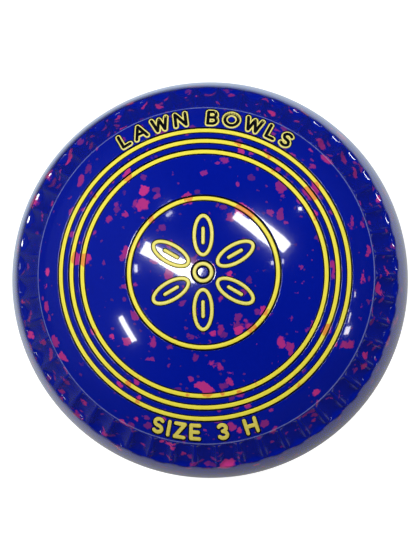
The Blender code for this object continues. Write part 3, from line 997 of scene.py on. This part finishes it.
FLOOR_RADIUS = 0.45
FLOOR_POINTS = 64
FLOOR_DROP = 0.2 * MM                   # just under the bowl's foot
FLOOR_SEEN = 0.9                        # how bright the floor itself looks, before the lamps
POOL_CENTRE = (0.0127, -0.0142, 0.0)
POOL_EDGE = (0.108, 0.132)              # where the white pool starts to fade, and where it has gone
POOL_SIDE = (-0.342, 0.940, 0.0)        # where the pool is brightest
POOL_LIGHT = (0.44, 0.23)               # its mean, and how much that changes round the bowl
POOL_TINTS = ((0.98, 0.99, 1.0), (0.82, 0.96, 1.14))    # away from that side, and on it
FILL_SIDE = (-0.70, 0.71, 0.0)          # the side from which most of the soft light comes
FLOOR_FILL = (0.30, 0.24)               # the soft light off the floor, its mean and its change
FILL_TINT = (0.95, 0.98, 1.0)
PALE_SIDE = (-0.97, -0.24, 0.0)         # a paler stretch of floor beyond the pool
PALE_SIDE_SPREAD = (0.60, 0.95)
PALE_SIDE_LIGHT = 0.05
PALE_SIDE_EDGE = (0.15, 0.24)
DIM_FLOOR = 0.018                       # and the rest of it
FADES_OUT = (1.0, 0.0)


def floor_material():
    """Pale and evenly lit to the eye.

    The polish finds a white pool round the foot, and dim floor beyond.
    """
    nodes = Nodes(bpy.data.materials.new("pale_floor"))
    coords = nodes.coords()
    to_the_eye = nodes.set_shader({
        "Base Color": nodes.mix(nodes.noise(coords, scale=40.0), *FLOOR_GREYS),
        "Roughness": 0.9,
        "Specular IOR Level": 0.0,
        "Emission Color": (1.0, 1.0, 1.0),
        "Emission Strength": FLOOR_SEEN,
    })
    reach = nodes.vector("LENGTH", nodes.vector("SUBTRACT", coords, POOL_CENTRE), output="Value")
    heading = nodes.vector("NORMALIZE", coords)

    def graded(value, edges, levels):
        return nodes.remap(value, edges, levels, "SMOOTHSTEP")

    def facing(direction):
        return nodes.vector("DOT_PRODUCT", heading, direction, output="Value")

    pool = nodes.math("MULTIPLY_ADD", facing(POOL_SIDE), POOL_LIGHT[1], POOL_LIGHT[0])
    pool = nodes.math("MULTIPLY", graded(reach, POOL_EDGE, FADES_OUT), pool)
    pale_side = graded(facing(PALE_SIDE), PALE_SIDE_SPREAD, (0.0, PALE_SIDE_LIGHT))
    pale_side = nodes.math("MULTIPLY", pale_side, graded(reach, PALE_SIDE_EDGE, FADES_OUT))
    strength = nodes.math("ADD", nodes.math("ADD", pool, pale_side), DIM_FLOOR)
    tint = nodes.mix(graded(facing(POOL_SIDE), (-1.0, 1.0), FULL_RANGE), *POOL_TINTS)
    glow = nodes.add("ShaderNodeEmission", {"Color": tint, "Strength": strength})
    fill = nodes.math("MULTIPLY_ADD", facing(FILL_SIDE), FLOOR_FILL[1], FLOOR_FILL[0])
    fill = nodes.add("ShaderNodeEmission", {"Color": FILL_TINT, "Strength": fill})
    unseen = nodes.by_ray("Is Diffuse Ray", fill.outputs[0], glow.outputs[0])
    surface = nodes.by_ray("Is Camera Ray", to_the_eye, unseen)
    nodes.put(nodes.tree.nodes["Material Output"].inputs["Surface"], surface)
    return nodes.owner


floor_edge = [(FLOOR_RADIUS * x, FLOOR_RADIUS * y, -FLOOR_DROP) for x, y in circle(1.0, FLOOR_POINTS)]
floor = new_object("floor", floor_edge, [range(FLOOR_POINTS)], [floor_material()])


# ------------------------------ the light

DARK_ROOM = (0.003, 0.009, 0.022)       # what the polish reflects between the lamps
ROOM_GLOW = (0.05, 0.065, 0.09)         # and what it reflects where the room is lightest
GLOW_SIDE = (-0.90, 0.10, 0.42)
GLOW_SPREAD = (0.35, 1.0)
LOW_FILL = (1.75, 1.8, 1.95)            # the soft light that comes in low
HIGH_FILL = (0.13, 0.13, 0.13)          # and the little that comes from above
FILL_FROM = (0.10, -0.10, 0.99)         # upwards, leaning to where the low light is weaker
FILL_SPREAD = (0.05, 0.40)
PALE_BACKDROP = (1.0, 1.0, 1.0)


def studio_world():
    """Light from all round. The eye, the polish and the soft light each find their own."""
    nodes = Nodes(bpy.data.worlds.new("studio"))
    nodes.owner.cycles.sampling_method = "NONE"
    direction = nodes.add("ShaderNodeTexCoord").outputs["Generated"]

    def graded(towards, spread, first, last):
        """A background whose colour changes with the direction's part along an axis."""
        along = nodes.vector("DOT_PRODUCT", direction, towards, output="Value")
        share = nodes.remap(along, spread, FULL_RANGE, "SMOOTHSTEP")
        return nodes.add("ShaderNodeBackground", {"Color": nodes.mix(share, first, last)}).outputs[0]

    soft_light = graded(FILL_FROM, FILL_SPREAD, LOW_FILL, HIGH_FILL)
    backdrop = nodes.add("ShaderNodeBackground", {"Color": PALE_BACKDROP}).outputs[0]
    surface = graded(GLOW_SIDE, GLOW_SPREAD, DARK_ROOM, ROOM_GLOW)
    surface = nodes.by_ray("Is Diffuse Ray", soft_light, surface)
    surface = nodes.by_ray("Is Camera Ray", backdrop, surface)
    nodes.put(nodes.tree.nodes["World Output"].inputs["Surface"], surface)
    return nodes.owner


bpy.context.scene.world = studio_world()

# Each lamp: its azimuth from +X and its elevation in degrees, its size across and up in metres,
# its roll in degrees, and its radiance
LAMPS = (
    ("window", 155.6, 71.0, 0.111, 0.553, -2.0, 19.0),
    ("window_inner", 158.9, 76.0, 0.130, 0.340, -9.3, 19.0),
    ("strip_near", 43.9, 58.1, 0.442, 0.066, 7.6, 19.0),
    ("strip_far", 36.8, 53.0, 0.381, 0.104, 14.8, 19.0),
    ("low_strip", -148.3, 43.3, 0.218, 0.045, -3.2, 19.0),
    ("spot", 37.7, 33.3, 0.026, 0.026, -29.6, 19.0),
    ("glint_top", 119.9, 49.6, 0.090, 0.028, 10.9, 12.0),
    ("glint_inner_top", 121.4, 54.4, 0.055, 0.020, 4.2, 9.0),
    ("glint_left", 172.2, 55.4, 0.060, 0.020, 8.4, 15.0),
    ("glint_right", 13.4, 58.8, 0.032, 0.018, -14.1, 12.0),
    ("glint_far_right", 12.6, 52.8, 0.036, 0.018, -13.5, 12.0),
    ("side_panel", -20.2, 2.2, 0.058, 0.095, 10.0, 10.0),
    ("side_slit", -15.0, 4.6, 0.070, 0.016, 6.0, 14.0),
    ("side_dot", -5.6, 3.6, 0.036, 0.018, 8.0, 12.0),
)
LAMP_DISTANCE = 1.0
AIM = Vector((0.0, 0.0, 2 * HALF_WIDTH))


def add_lamp(name, azimuth, elevation, across, up, roll, radiance):
    a = math.radians(azimuth)
    e = math.radians(elevation)
    towards = Vector((math.cos(a) * math.cos(e), math.sin(a) * math.cos(e), math.sin(e)))
    data = bpy.data.lights.new(name, "AREA")
    data.shape = "RECTANGLE"
    data.size = across
    data.size_y = up
    data.energy = radiance * math.pi * across * up
    lamp = bpy.data.objects.new(name, data)
    bpy.context.scene.collection.objects.link(lamp)
    side_axis = Vector((0.0, 0.0, 1.0)).cross(towards).normalized()
    up_axis = towards.cross(side_axis)
    turn = Matrix.Rotation(math.radians(roll), 3, towards)
    rotation = Matrix((turn @ side_axis, turn @ up_axis, towards)).transposed()
    lamp.matrix_world = Matrix.Translation(AIM + towards * LAMP_DISTANCE) @ rotation.to_4x4()


for lamp_facts in LAMPS:
    add_lamp(*lamp_facts)


# ------------------------------ the camera

CAMERA_DISTANCE = 0.5
CAMERA_TILT = math.radians(3.05)  # off the bowl's axis
CAMERA_SIDE = (0.668, -0.744)     # the way it leans
CAMERA_LENS = 103.6
SENSOR_WIDTH = 36.0


def add_camera():
    """Looks down on the bowl, with its middle plane's centre in the middle of the picture."""
    data = bpy.data.cameras.new("camera")
    data.lens = CAMERA_LENS
    data.sensor_width = SENSOR_WIDTH
    camera = bpy.data.objects.new("camera", data)
    bpy.context.scene.collection.objects.link(camera)
    lean = math.sin(CAMERA_TILT)
    back = Vector((lean * CAMERA_SIDE[0], lean * CAMERA_SIDE[1], math.cos(CAMERA_TILT)))
    across = Vector((0.0, 1.0, 0.0)).cross(back).normalized()
    rotation = Matrix((across, back.cross(across), back)).transposed()
    place = Vector((0.0, 0.0, HALF_WIDTH)) + back * CAMERA_DISTANCE
    camera.matrix_world = Matrix.Translation(place) @ rotation.to_4x4()
    return camera


bpy.context.scene.camera = add_camera()
bpy.context.scene.view_settings.view_transform = "Standard"
